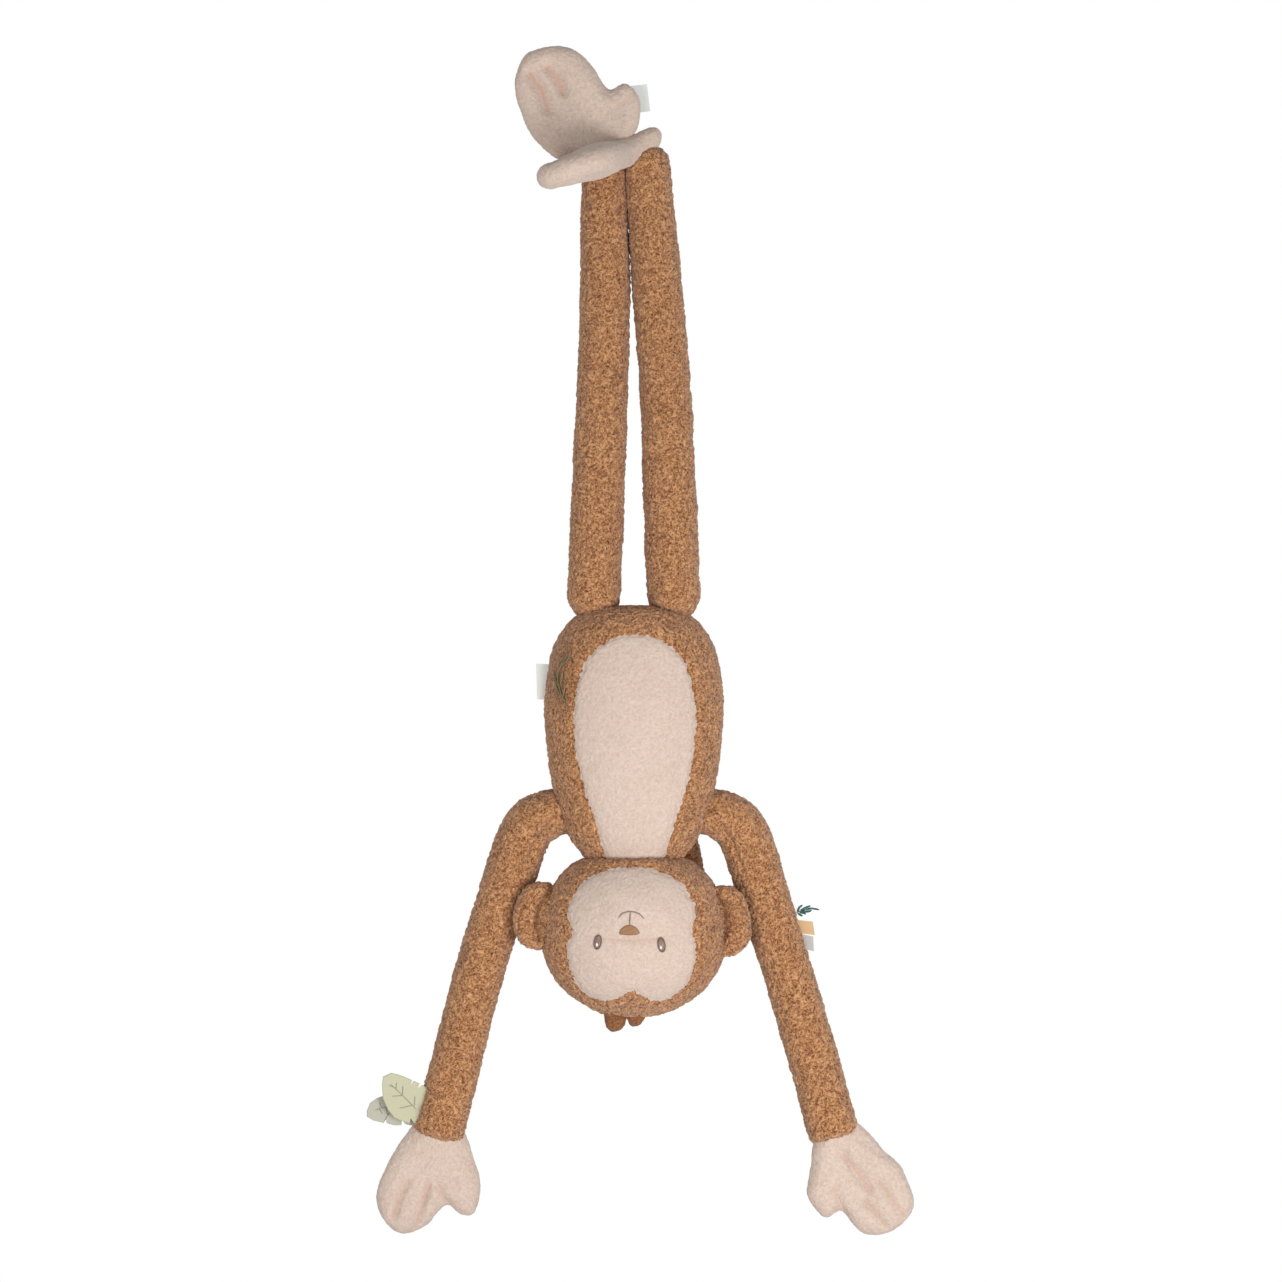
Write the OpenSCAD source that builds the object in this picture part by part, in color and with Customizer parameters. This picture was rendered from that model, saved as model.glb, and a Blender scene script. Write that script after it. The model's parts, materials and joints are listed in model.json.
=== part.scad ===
// Long-limbed stuffed monkey hanging head down from its clasped feet.
// The origin is the middle of the feet's grip, +Z is up, and the belly faces -Y.
// Every limb is a row of stuffed lengths: each starts in a ball at its joint and runs into
// the cupped end of the length before it.

/* [Torso] */
// Half width of the torso at its widest
torso_half_width = 76; // [66:1:86]
// Depth of the torso front to back, as a share of its width
torso_depth_share = 0.73; // [0.62:0.01:0.85]
// Height of the hip end of the torso
torso_top = -383; // [-383:1:-377]
// Height of the neck seam
neck_height = -594; // [-598:1:-592]
// Half width of the torso at the neck seam
neck_half_width = 45; // [38:1:48]

/* [Head] */
// Half width of the head
head_half_width = 77; // [70:1:80]
// Half depth of the head front to back
head_half_depth = 64; // [56:1:68]
// Height of the head from chin to crown
head_tall = 133; // [120:1:145]
// Height of each ear
ear_tall = 56; // [44:1:60]
// Thickness of each ear front to back
ear_thick = 25; // [20:1:28]

/* [Arms] */
// Radius of each arm
arm_radius = 22; // [17:0.5:23]
// How far out the shoulder fold is from the middle
shoulder_out = 90; // [86:1:98]
// How far out the elbow is from the middle
elbow_out = 133; // [131:1:145]
// How far out the wrist is from the middle
wrist_out = 164; // [158:1:180]
// Length of the hand below the wrist joint
hand_long = 88; // [74:1:100]
// Thickness of the padded hands and feet
mitt_thick = 24; // [20:1:26]

/* [Legs] */
// Radius of each leg at the hip
thigh_radius = 22; // [18:0.5:23]
// Radius of each leg at the ankle
ankle_radius = 19; // [16:0.5:19.5]
// How far out each hip joint is from the middle
hip_out = 33.5; // [32:0.5:36]

/* [Tail] */
// Radius of the tail
tail_radius = 12.5; // [9:0.5:13]

/* [Cloth] */
// Thickness of the plush cloth of the skins
skin = 2.5; // [2:0.1:3]
// Thickness of felt leaves, ribbons and the label
felt = 1.6; // [1:0.1:2]
// How far the stitching stands above the cloth
stitch_height = 1; // [0.8:0.1:1.5]
// Free gap between two pieces that move against each other
joint_gap = 0.6; // [0.5:0.1:0.8]
// Free gap between a skin and its stuffing
filling_gap = 0.3; // [0.2:0.1:0.5]

/* [Hidden] */
$fn = 72;

teddy = "peru";
cream = "bisque";
fibre = "white";
big = 400;
room_long = 60;

// ---- joints -------------------------------------------------------------------------------
left = -1;
right = 1;
arm_back = 18;
shoulder_height = -573;
elbow_height = -701;
wrist_height = -816;
root_height = shoulder_height + 17;
root_inset = 26;
swing_back = 40;
hip_height = torso_top + 10;
knee_height = -202;
elbow_bend = 70;
knee_bend = 60;
wrist_bend = 35;
spread_max = 60;
tail_bend = 45;
hip_spread = 45;

function shoulder_root(side) = [side * (shoulder_out - root_inset), 6, root_height];
function shoulder_at(side) = [side * shoulder_out, 12, shoulder_height];
function elbow_at(side) = [side * elbow_out, arm_back, elbow_height];
function wrist_at(side) = [side * (wrist_out + 2 * side), 12, wrist_height];
function hip_at(side) = [side * hip_out, 0, hip_height];
function knee_at(side) = [side * (hip_out - 7), 4, knee_height];
ankle_left_at = [-27, 10, -26];
ankle_right_at = [13, 6, -19];
tail_root_at = [6, 62.2, -412];
tail_mid_at = [26, 92, -508];
tail_tip_at = [57, 80, -646];

// ---- curves and helpers -------------------------------------------------------------------
function weave(a, b, c, d, t) =
    0.5 * (2 * b + (c - a) * t + (2 * a - 5 * b + 4 * c - d) * t * t
        + (3 * b - a - 3 * c + d) * t * t * t);

// Smooth line through the points, with the given number of steps between two of them
function smooth(points, steps = 4) = [
    for (i = [0 : len(points) - 2]) for (s = [0 : steps - 1])
        weave(points[max(i - 1, 0)], points[i], points[i + 1],
            points[min(i + 2, len(points) - 1)], s / steps),
    points[len(points) - 1]
];

function mirrored(points) = [for (i = [len(points) - 1 : -1 : 0]) [-points[i][0], points[i][1]]];

// Turns +Z to point from a to b
module along(a, b) {
    d = b - a;
    translate(a)
        rotate([0, acos(d[2] / norm(d)), atan2(d[1], d[0])])
            children();
}

// Closed tube with round ends, from a to b
module stuffed_tube(a, b, ra, rb, inset = 0) {
    long = norm(b - a);
    p = ra - inset;
    q = rb - inset;
    along(a, b) rotate_extrude() polygon(concat(
        [for (t = [-90 : 11.25 : 0]) [p * cos(t), p * sin(t)]],
        [for (t = [0 : 11.25 : 90]) [q * cos(t), long + q * sin(t)]]
    ));
}

// Room for the next length of a limb, which runs from b to c and turns at b from lo to hi degrees
module bend_room(b, c, r, turn, lo, hi) {
    translate(b) sphere(r + joint_gap);
    for (angle = [lo, hi])
        translate(b) rotate(angle, turn) translate(-b)
            along(b, c) translate([-big / 2, -big / 2, -joint_gap]) cube([big, big, big]);
}

// Room that a limb's round end needs inside what turns on it, about turn from lo to hi
module cuff_room(a, b, r, turn, lo, hi) {
    translate(b) sphere(r + 2 * joint_gap);
    for (angle = [lo, (lo + hi) / 2, hi])
        translate(b) rotate(angle, turn) translate(-b)
            along(b, a) cylinder(r = r + joint_gap, h = room_long);
}

// Straight block behind an outline drawn in X and Z, on the belly side
module front_prism(points) {
    rotate([90, 0, 0]) linear_extrude(150) polygon(points);
}

// ---- torso --------------------------------------------------------------------------------
torso_middle = (torso_top + neck_height) / 2;
side_seam = 1.5;
torso_profile = concat(
    smooth([
        [0, torso_top], [torso_half_width * 0.5, torso_top - 1], [torso_half_width * 0.74, torso_top - 12],
        [torso_half_width * 0.92, torso_top - 34], [torso_half_width, torso_top - 74],
        [torso_half_width * 0.98, torso_top - 112], [torso_half_width * 0.91, torso_top - 152],
        [torso_half_width * 0.78, torso_top - 186], [neck_half_width, neck_height]
    ]),
    [[0, neck_height]]
);
belly_outline = smooth(concat(
    mirrored([[12, -407], [32, -417], [44, -433], [51.5, -465], [51, -500], [46, -528], [35, -562], [23, -600]]),
    [[12, -407], [32, -417], [44, -433], [51.5, -465], [51, -500], [46, -528], [35, -562], [23, -600]]
));

module torso_form(inset = 0) {
    wide = (torso_half_width - inset) / torso_half_width;
    tall = 1 - 2 * inset / (torso_top - neck_height);
    translate([0, 0, torso_middle])
        scale([wide, torso_depth_share * wide, tall])
            translate([0, 0, -torso_middle]) rotate_extrude() polygon(torso_profile);
}

module torso_sockets() {
    for (side = [left, right]) {
        cuff_room(knee_at(side), hip_at(side), thigh_radius, [0, side, 0], 0, hip_spread);
        cuff_room(shoulder_at(side), shoulder_root(side), arm_radius, [1, 0, 0], 0, swing_back);
    }
    translate(tail_root_at) sphere(tail_radius + 2 * joint_gap);
}

module torso_skin() {
    difference() {
        torso_form();
        torso_form(skin);
        torso_sockets();
    }
}

module torso_back() {
    color(teddy) intersection() {
        torso_skin();
        translate([-big / 2, side_seam, -big / 2 + torso_middle]) cube(big);
    }
}

module torso_front() {
    color(teddy) difference() {
        torso_skin();
        translate([-big / 2, side_seam, -big / 2 + torso_middle]) cube(big);
        front_prism(belly_outline);
    }
}

module belly_panel() {
    color(cream) intersection() {
        torso_skin();
        front_prism(belly_outline);
    }
}

module torso_stuffing() {
    color(fibre) difference() {
        torso_form(skin + filling_gap);
        torso_sockets();
    }
}

// Feather drawn in satin stitch beside the belly panel
feather_outline = [[-52, -424], [-56, -428], [-60, -437], [-61, -450], [-58.5, -462], [-56.5, -468],
    [-56, -458], [-55, -446], [-55, -436]];

module feather_stitching() {
    color("darkolivegreen") intersection() {
        difference() {
            torso_form(-stitch_height);
            torso_form();
        }
        front_prism(feather_outline);
    }
}

// Folded blank label in the side seam
module hip_label() {
    color("white") translate([-torso_half_width - 9.5, -felt, -461])
        cube([9, felt, 31]);
}

// ---- head ---------------------------------------------------------------------------------
head_top = neck_height - joint_gap;
head_middle = head_top - head_tall / 2;
head_profile = concat(
    [[0, head_top]],
    smooth([
        [head_half_width * 0.56, head_top], [head_half_width * 0.73, head_top - 7],
        [head_half_width * 0.9, head_top - 24], [head_half_width, head_top - 52],
        [head_half_width * 0.985, head_top - 82], [head_half_width * 0.8, head_top - 0.81 * head_tall],
        [head_half_width * 0.45, head_top - 0.955 * head_tall], [0, head_top - head_tall]
    ])
);
face_half = [[15, -600], [46, -616], [56, -637], [50, -656], [54, -676], [46, -698], [25, -713], [0, -704]];
face_outline = smooth(concat(mirrored([for (i = [0 : 6]) face_half[i]]), face_half,
    [[-25, -713]]), 3);
muzzle_seam = -659;

module head_form(inset = 0) {
    share = (head_half_width - inset) / head_half_width;
    tall = 1 - 2 * inset / head_tall;
    translate([0, 0, head_middle])
        scale([share, share * head_half_depth / head_half_width, tall])
            translate([0, 0, -head_middle]) rotate_extrude() polygon(head_profile);
}

module head_skin() {
    difference() {
        head_form();
        head_form(skin);
    }
}

module head_back() {
    color(teddy) intersection() {
        head_skin();
        translate([-big / 2, 0, -big / 2 + head_middle]) cube(big);
    }
}

module head_front() {
    color(teddy) difference() {
        head_skin();
        translate([-big / 2, 0, -big / 2 + head_middle]) cube(big);
        front_prism(face_outline);
    }
}

module face_part(low, high) {
    color(cream) intersection() {
        head_skin();
        front_prism(face_outline);
        translate([-big / 2, -big / 2, low]) cube([big, big, high - low]);
    }
}

module muzzle_panel() { face_part(muzzle_seam, head_top + 5); }
module brow_panel() { face_part(head_top - head_tall, muzzle_seam); }

module head_stuffing() {
    color(fibre) head_form(skin + filling_gap);
}

// A raised patch of satin stitch on the face, with its outline in X and Z
module stitched(points, tint, low = 0, height = stitch_height) {
    color(tint) intersection() {
        difference() {
            head_form(-low - height);
            head_form(-low);
        }
        front_prism(points);
    }
}

function oval(x, z, half_wide, half_tall) =
    [for (t = [0 : 20 : 340]) [x + half_wide * cos(t), z + half_tall * sin(t)]];

ear_forward = -10;
eye_out = 26.5;
eye_height = -666;
module eye(side) { stitched(oval(side * eye_out - 3, eye_height - side, 3.8, 6.2), "rosybrown"); }
module eye_glints() {
    for (side = [left, right])
        stitched(oval(side * eye_out - 3, eye_height - side - 2, 1.1, 2.3), "white", stitch_height, 0.5);
}

nose_outline = [[-12, -654.5], [-11, -658], [-3.4, -660], [4.2, -658], [5.2, -654.5], [0, -651.5], [-3.4, -650.8], [-7, -651.5]];
module nose() { stitched(nose_outline, "saddlebrown"); }

module mouth_stitching() {
    line = 1.1;
    arc = smooth([[-12.6, -644.5], [-8, -639.5], [-3.4, -638.8], [1.4, -639.5], [8, -645.5]], 3);
    stitched(concat(arc, [for (i = [len(arc) - 1 : -1 : 0]) arc[i] - [0, line]]), "slategray");
    stitched([[-4, -640], [-2.9, -640], [-2.9, -650], [-4, -650]], "slategray");
}

// Two rolled lobes of plush that stand out of the crown seam
module forelock(x, long) {
    color("chocolate") difference() {
        translate([x, -6, head_top - head_tall - long + 6.5]) scale([1.05, 0.8, 1.4]) sphere(6.5);
        head_form(-filling_gap);
    }
}

module ear(side, height) {
    color(teddy) difference() {
        translate([side * (head_half_width - 4), ear_forward, height]) rotate([90, 0, 0])
            rotate_extrude() polygon([for (t = [-90 : 10 : 90])
                [ear_tall / 2 * cos(t), ear_thick / 2 * sin(t)]]);
        translate([0, 0, head_middle + 8]) sphere(head_half_width + 3);
    }
}

// ---- arms ---------------------------------------------------------------------------------
module shoulder(side) {
    color(teddy) difference() {
        stuffed_tube(shoulder_root(side), shoulder_at(side), arm_radius, arm_radius);
        bend_room(shoulder_at(side), elbow_at(side), arm_radius, [0, -side, 0], 0, spread_max);
    }
}

module upper_arm_solid(side, inset = 0) {
    difference() {
        stuffed_tube(shoulder_at(side), elbow_at(side), arm_radius, arm_radius, inset);
        bend_room(elbow_at(side), wrist_at(side), arm_radius, [-1, 0, 0], 0, elbow_bend);
    }
}

module upper_arm(side) {
    color(teddy) difference() {
        upper_arm_solid(side);
        stuffed_tube(shoulder_at(side), elbow_at(side), arm_radius, arm_radius, skin);
    }
}

module upper_arm_stuffing(side) { color(fibre) upper_arm_solid(side, skin + filling_gap); }

module forearm(side) {
    color(teddy) difference() {
        stuffed_tube(elbow_at(side), wrist_at(side), arm_radius, arm_radius);
        stuffed_tube(elbow_at(side), wrist_at(side), arm_radius, arm_radius, skin);
    }
}

module forearm_stuffing(side) {
    color(fibre) stuffed_tube(elbow_at(side), wrist_at(side), arm_radius, arm_radius, skin + filling_gap);
}

// Padded mitten: a row of round fingers in one pad, and a thumb towards the other hand
module mitten(fingers, thumb, thick, inset) {
    r = thick / 2 - inset;
    for (pad = [fingers, thumb])
        hull() for (p = pad) translate(p) sphere(r, $fn = 20);
}

hand_low = mitt_thick / 2 - hand_long;
function placed(at, points) = [for (p = points) at + [p[0], 0, p[1]]];
hand_left_fingers = placed(wrist_at(left), [[-10, -12], [-34, -36], [-45, -62], [-38, hand_low - 6],
    [-22, hand_low - 4], [-8, hand_low + 14], [6, -20]]);
hand_left_thumb = placed(wrist_at(left), [[8, -24], [20, -50], [17, hand_low + 8], [-8, -44]]);
hand_right_fingers = placed(wrist_at(right), [[10, -12], [44, -34], [58, -62], [50, hand_low - 2],
    [32, hand_low - 6], [16, hand_low + 10], [-5, -26]]);
hand_right_thumb = placed(wrist_at(right), [[-6, -34], [-9, -58], [-3, hand_low + 6], [12, -48]]);

module hand_form(side, inset) {
    if (side == left) mitten(hand_left_fingers, hand_left_thumb, mitt_thick, inset);
    else mitten(hand_right_fingers, hand_right_thumb, mitt_thick, inset);
}

module hand_solid(side, inset) {
    difference() {
        hand_form(side, inset);
        cuff_room(elbow_at(side), wrist_at(side), arm_radius, [1, 0, 0], -wrist_bend, wrist_bend);
    }
}

module hand(side) {
    color(cream) difference() {
        hand_solid(side, 0);
        hand_form(side, skin);
    }
}

module hand_stuffing(side) { color(fibre) hand_solid(side, skin + filling_gap); }

// Felt leaf that points away from the arm, with a pointed tip
function leaf_shape(long, wide) = concat(
    smooth([[0, -wide / 6], [long * 0.25, -wide / 2], [long * 0.6, -wide * 0.42], [long, 0]], 4),
    smooth([[long, 0], [long * 0.6, wide * 0.42], [long * 0.25, wide / 2], [0, wide / 6]], 4));

// Point on the outer side of a forearm or an upper arm, and the room its trim starts at
function on_line(a, b, share) = a + (b - a) * share;
trim_out = arm_radius + 3;

module leaf(long, wide, tilt, share, y) {
    p = on_line(elbow_at(left), wrist_at(left), share);
    translate(p + [-trim_out - 0.5, y - p[1], 0]) rotate([90, 0, 0]) rotate(180 - tilt)
        linear_extrude(felt) polygon(leaf_shape(long, wide));
}

module leaf_green() { color("darkseagreen") leaf(40, 33, 38, 0.87, 6); }
module leaf_grey() { color("lightslategray") leaf(45, 22, 6, 0.92, 14); }

// Short loop of ribbon out of the outer seam of the right arm
module ribbon(out, tall, height, y) {
    share = (height - shoulder_height) / (elbow_height - shoulder_height);
    p = on_line(shoulder_at(right), elbow_at(right), share);
    translate([p[0] + trim_out, y, height - tall / 2]) cube([out, felt, tall]);
}

module ribbon_fern() { color("white") ribbon(19, 10.5, -639, 12); }
module ribbon_tan() { color("sandybrown") ribbon(11, 10.5, -654.5, 12); }
module ribbon_grey() { color("gray") ribbon(6, 11.5, -667, 12); }

// ---- legs ---------------------------------------------------------------------------------
function ankle_at(side) = side == left ? ankle_left_at : ankle_right_at;
function knee_turn(side) = [side, 0, 0];
function knee_radius() = thigh_radius - 1;

module thigh_solid(side, inset = 0) {
    difference() {
        stuffed_tube(hip_at(side), knee_at(side), thigh_radius, knee_radius(), inset);
        bend_room(knee_at(side), ankle_at(side), knee_radius(), knee_turn(side), 0, knee_bend);
    }
}

module thigh(side) {
    color(teddy) difference() {
        thigh_solid(side);
        stuffed_tube(hip_at(side), knee_at(side), thigh_radius, knee_radius(), skin);
    }
}

module thigh_stuffing(side) { color(fibre) thigh_solid(side, skin + filling_gap); }

module shin_solid(side, inset = 0) {
    stuffed_tube(knee_at(side), ankle_at(side), knee_radius(), ankle_radius, inset);
}

module shin(side) {
    color(teddy) difference() {
        shin_solid(side);
        shin_solid(side, skin);
    }
}

module shin_stuffing(side) { color(fibre) shin_solid(side, skin + filling_gap); }

// The left foot stands up behind the right one and shows its sole
foot_left_toes = [[-74, -2, 2], [-88, -2, 34], [-85, -2, 60], [-66, -2, 76], [-42, -2, 60], [-22, -2, 24], [-8, -2, 22],
    [-34, -2, 10]];
foot_left_thumb = [[-2, -2, 44], [-6, -2, 32], [-34, -2, 22]];
// The right foot lies across in front of the left ankle and is seen from its edge
foot_right_toes = [[-70, -32, -24], [-70, -58, -22], [-40, -66, -16], [0, -52, -4], [10, -10, 3], [-12, -28, -5]];
foot_right_thumb = [[12, 6, 5], [2, -18, 1], [10, -6, 5]];

module foot_form(side, inset) {
    if (side == left) mitten(foot_left_toes, foot_left_thumb, mitt_thick, inset);
    else mitten(foot_right_toes, foot_right_thumb, mitt_thick - 2, inset);
}

module foot_solid(side, inset) {
    difference() {
        foot_form(side, inset);
        if (side == left) cuff_room(knee_at(left), ankle_left_at, ankle_radius, [-1, 0, 0], 0, -40);
        else cuff_room(knee_at(right), ankle_right_at, ankle_radius, [0, -1, 0], 0, -35);
    }
}

module foot(side) {
    color(cream) difference() {
        foot_solid(side, 0);
        foot_form(side, skin);
    }
}

module foot_stuffing(side) { color(fibre) foot_solid(side, skin + filling_gap); }

// Hook-and-loop squares that fasten the feet to each other
patch_long = 25;
module hook_patch() {
    color("white") translate([-12, -2 + mitt_thick / 2 + 0.1, 32]) cube([patch_long, felt, 23]);
}

module loop_patch() {
    color("whitesmoke") translate([-52, -58, -4.6]) rotate([0, -22, 0]) cube([patch_long, 23, felt]);
}

// ---- tail ---------------------------------------------------------------------------------
module tail_part_upper(inset = 0) {
    difference() {
        stuffed_tube(tail_root_at, tail_mid_at, tail_radius, tail_radius, inset);
        bend_room(tail_mid_at, tail_tip_at, tail_radius, [1, 0, 0], 0, tail_bend);
    }
}

module tail_upper() {
    color(teddy) difference() {
        tail_part_upper();
        stuffed_tube(tail_root_at, tail_mid_at, tail_radius, tail_radius, skin);
    }
}

module tail_lower() {
    color(teddy) difference() {
        stuffed_tube(tail_mid_at, tail_tip_at, tail_radius, tail_radius);
        stuffed_tube(tail_mid_at, tail_tip_at, tail_radius, tail_radius, skin);
    }
}

module tail_stuffing_upper() { color(fibre) tail_part_upper(skin + filling_gap); }
module tail_stuffing_lower() {
    color(fibre) stuffed_tube(tail_mid_at, tail_tip_at, tail_radius, tail_radius, skin + filling_gap);
}

// ---- assembly -----------------------------------------------------------------------------
torso_back();
torso_front();
belly_panel();
torso_stuffing();
feather_stitching();
hip_label();
head_back();
head_front();
muzzle_panel();
brow_panel();
head_stuffing();
eye(left);  // eye_left
eye(right);  // eye_right
eye_glints();
nose();
mouth_stitching();
forelock(-15, 12);  // forelock_left
forelock(1.5, 8);  // forelock_right
ear(left, -643);  // ear_left
ear(right, -649);  // ear_right
shoulder(left);  // shoulder_left
shoulder(right);  // shoulder_right
upper_arm(left);  // upper_arm_left
upper_arm(right);  // upper_arm_right
upper_arm_stuffing(left);  // upper_arm_stuffing_left
upper_arm_stuffing(right);  // upper_arm_stuffing_right
forearm(left);  // forearm_left
forearm(right);  // forearm_right
forearm_stuffing(left);  // forearm_stuffing_left
forearm_stuffing(right);  // forearm_stuffing_right
hand(left);  // hand_left
hand(right);  // hand_right
hand_stuffing(left);  // hand_stuffing_left
hand_stuffing(right);  // hand_stuffing_right
leaf_green();
leaf_grey();
ribbon_fern();
ribbon_tan();
ribbon_grey();
thigh(left);  // thigh_left
thigh(right);  // thigh_right
thigh_stuffing(left);  // thigh_stuffing_left
thigh_stuffing(right);  // thigh_stuffing_right
shin(left);  // shin_left
shin(right);  // shin_right
shin_stuffing(left);  // shin_stuffing_left
shin_stuffing(right);  // shin_stuffing_right
foot(left);  // foot_left
foot(right);  // foot_right
foot_stuffing(left);  // foot_stuffing_left
foot_stuffing(right);  // foot_stuffing_right
hook_patch();
loop_patch();
tail_upper();
tail_lower();
tail_stuffing_upper();
tail_stuffing_lower();
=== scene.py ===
import itertools
import json
import math

import bpy
import numpy as np
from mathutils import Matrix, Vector
from mathutils.bvhtree import BVHTree


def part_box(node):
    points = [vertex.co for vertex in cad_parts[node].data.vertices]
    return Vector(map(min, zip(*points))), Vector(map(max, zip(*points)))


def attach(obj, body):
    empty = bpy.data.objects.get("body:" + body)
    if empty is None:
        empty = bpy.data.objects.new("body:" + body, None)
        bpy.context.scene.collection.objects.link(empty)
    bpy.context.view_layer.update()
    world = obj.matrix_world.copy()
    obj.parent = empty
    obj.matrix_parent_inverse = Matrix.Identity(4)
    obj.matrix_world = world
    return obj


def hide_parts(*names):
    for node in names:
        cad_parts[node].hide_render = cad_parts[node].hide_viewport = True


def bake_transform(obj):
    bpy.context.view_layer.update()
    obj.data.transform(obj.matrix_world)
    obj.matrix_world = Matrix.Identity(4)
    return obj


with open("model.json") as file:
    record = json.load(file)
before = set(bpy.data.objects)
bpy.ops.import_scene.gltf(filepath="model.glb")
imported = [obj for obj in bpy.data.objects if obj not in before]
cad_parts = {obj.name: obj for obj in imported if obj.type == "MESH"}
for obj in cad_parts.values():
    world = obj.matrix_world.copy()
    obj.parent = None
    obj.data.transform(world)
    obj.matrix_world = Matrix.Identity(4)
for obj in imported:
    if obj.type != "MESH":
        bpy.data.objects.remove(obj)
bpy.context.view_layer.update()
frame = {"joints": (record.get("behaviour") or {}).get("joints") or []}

joint_at = {joint["name"]: np.array(joint["pos_m"]) for joint in frame["joints"]}
MM = 0.001

# ---- camera, light and floor ----------------------------------------------------------------
# A level view from straight in front, from far enough off that near pieces look no bigger.
VIEW_MIDDLE = Vector((0.006, 0, -0.412))
VIEW_DISTANCE = 10.0
VIEW_HEIGHT = 1.077
SENSOR = 36
camera_data = bpy.data.cameras.new("camera")
camera_data.sensor_width = SENSOR
camera_data.lens = SENSOR * VIEW_DISTANCE / VIEW_HEIGHT
camera = bpy.data.objects.new("camera", camera_data)
camera.location = VIEW_MIDDLE - Vector((0, VIEW_DISTANCE, 0))
camera.rotation_euler = (math.pi / 2, 0, 0)
scene = bpy.context.scene
scene.collection.objects.link(camera)
scene.camera = camera
scene.view_settings.view_transform = "Standard"


class Shade:
    """An output of a material's nodes. Arithmetic on it adds Math nodes."""

    def __init__(self, tree, socket=None):
        self.tree = tree
        self.socket = socket

    def node(self, kind, settings, inputs, out=0):
        """Adds a node with these settings and these socket values or links, and gives an output of it."""
        made = self.tree.nodes.new(kind)
        for name, value in settings.items():
            if name == "stops":
                ramp = made.color_ramp
                while len(ramp.elements) < len(value):
                    ramp.elements.new(0.5)
                for element, (place, colour) in zip(ramp.elements, value):
                    element.position = place
                    element.color = colour
            else:
                setattr(made, name, value)
        for key, value in inputs.items():
            if isinstance(value, Shade):
                self.tree.links.new(value.socket, made.inputs[key])
            else:
                made.inputs[key].default_value = value
        return Shade(self.tree, made.outputs[out])

    def noise(self, place, scale, detail):
        """Noise at a place, 0 to 1."""
        values = {"Vector": place, "Scale": scale, "Detail": detail}
        return self.node("ShaderNodeTexNoise", {}, values, out="Fac")

    def into(self, socket):
        """Feeds a socket of a shader."""
        self.tree.links.new(self.socket, socket)

    def math(self, operation, first, second):
        return self.node("ShaderNodeMath", {"operation": operation}, {0: first, 1: second})

    def __add__(self, other):
        return self.math("ADD", self, other)

    def __sub__(self, other):
        return self.math("SUBTRACT", self, other)

    def __mul__(self, other):
        return self.math("MULTIPLY", self, other)

    def __rsub__(self, other):
        return self.math("SUBTRACT", other, self)

    __radd__ = __add__
    __rmul__ = __mul__

    def mix(self, low, high):
        """A colour that goes from low to high as self goes from 0 to 1."""
        return self.node("ShaderNodeMix", {"data_type": "RGBA"}, {0: self, 6: low, 7: high}, out=2)


SKY_ON_TOY = 0.52
world = bpy.data.worlds.new("studio")
scene.world = world
world.use_nodes = True
sky = world.node_tree.nodes["Background"]
sky.inputs["Color"].default_value = (1, 1, 1, 1)
studio = Shade(world.node_tree)
seen = studio.node("ShaderNodeLightPath", {}, {}, out="Is Camera Ray")
strength = studio.node("ShaderNodeMapRange", {}, {"Value": seen, "To Min": SKY_ON_TOY}, out="Result")
strength.into(sky.inputs["Strength"])


def soft_box(name, place, size, power):
    """A square soft light that faces the middle of the toy."""
    light = bpy.data.lights.new(name, "AREA")
    light.size = size
    light.energy = power
    holder = bpy.data.objects.new(name, light)
    holder.location = place
    holder.rotation_euler = (VIEW_MIDDLE - Vector(place)).to_track_quat("-Z", "Y").to_euler()
    scene.collection.objects.link(holder)


soft_box("key_light", (1.1, -1.9, -1.1), 1.0, 34)
soft_box("fill_light", (-1.2, -2.1, -1.0), 1.2, 20)


def paint(red, green, blue):
    """A colour as a screen shows it, 0 to 255, as the shader takes it."""
    parts = [((c / 255 + 0.055) / 1.055) ** 2.4 for c in (red, green, blue)]
    return (*parts, 1)


def finish_of(name):
    """A new material: the start of its nodes, its shader and the material."""
    material = bpy.data.materials.new(name)
    material.use_nodes = True
    tree = material.node_tree
    return Shade(tree), tree.nodes["Principled BSDF"], material


FLOOR_HEIGHT = -1.16
FLOOR_HALF = 0.9
FLOOR_CORNERS = 64
start, shader, floor_finish = finish_of("floor_paper")
grain = start.node("ShaderNodeTexNoise", {}, {"Scale": 6.0, "Detail": 2.0}, out="Fac")
floor_tint = grain.mix(paint(243, 242, 240), paint(250, 249, 248))
floor_tint.into(shader.inputs["Base Color"])
shader.inputs["Roughness"].default_value = 0.9
floor_mesh = bpy.data.meshes.new("floor")
floor_ring = [
    (FLOOR_HALF * math.cos(turn * math.tau / FLOOR_CORNERS),
     FLOOR_HALF * math.sin(turn * math.tau / FLOOR_CORNERS), FLOOR_HEIGHT)
    for turn in range(FLOOR_CORNERS)
]
floor_mesh.from_pydata(floor_ring, [], [tuple(range(FLOOR_CORNERS))])
floor_mesh.materials.append(floor_finish)
floor = bpy.data.objects.new("floor", floor_mesh)
scene.collection.objects.link(floor)

# ---- torso skin and belly panel -----------------------------------------------------------------
# A stuffed bag of brown curly teddy cloth, sewn at the sides, with a panel of short cream plush
# let into the front. The curls stand about two millimetres and hang over the panel's seam.
COARSE = 3.6 * MM
HASH = np.array([73856093, 19349663, 83492791])
draw = np.random.default_rng(7)
SLOPES = draw.normal(size=(256, 3))
SLOPES /= np.linalg.norm(SLOPES, axis=1)[:, None]


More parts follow.
